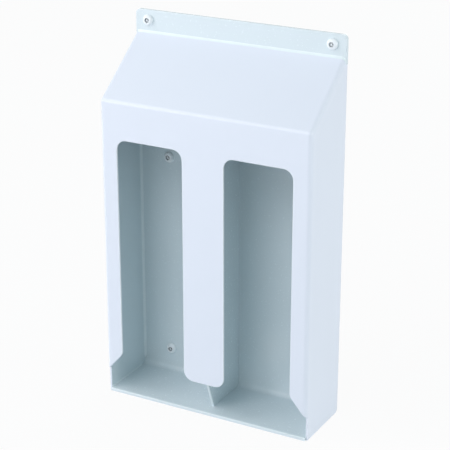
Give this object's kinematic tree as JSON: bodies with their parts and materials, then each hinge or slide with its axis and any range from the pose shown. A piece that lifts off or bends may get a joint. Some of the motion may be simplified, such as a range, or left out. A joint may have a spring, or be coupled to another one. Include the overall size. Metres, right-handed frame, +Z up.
{
  "type": "paper towel dispenser",
  "caption": "Wall-hung dispenser in white sheet plastic: a slope-topped hood with tall open slots over a bent back-and-floor panel, screwed to the wall.",
  "frame": {"origin": "on the wall plane, at the centre of the rectangle of four body screws", "axes": "+X to the right as seen from the front, +Y into the wall, +Z up"},
  "size_m": [0.2808, 0.112, 0.48],
  "materials": {
    "white_sheet": "satin white sheet",
    "screw_paint": "white paint"
  },
  "bodies": {
    "root": {"hood": "white_sheet", "base_panel": "white_sheet", "divider": "white_sheet", "flange_screw_left": "screw_paint", "flange_screw_right": "screw_paint", "body_screw_upper_left": "screw_paint", "body_screw_upper_right": "screw_paint", "body_screw_lower_left": "screw_paint", "body_screw_lower_right": "screw_paint"}
  },
  "joints": []
}
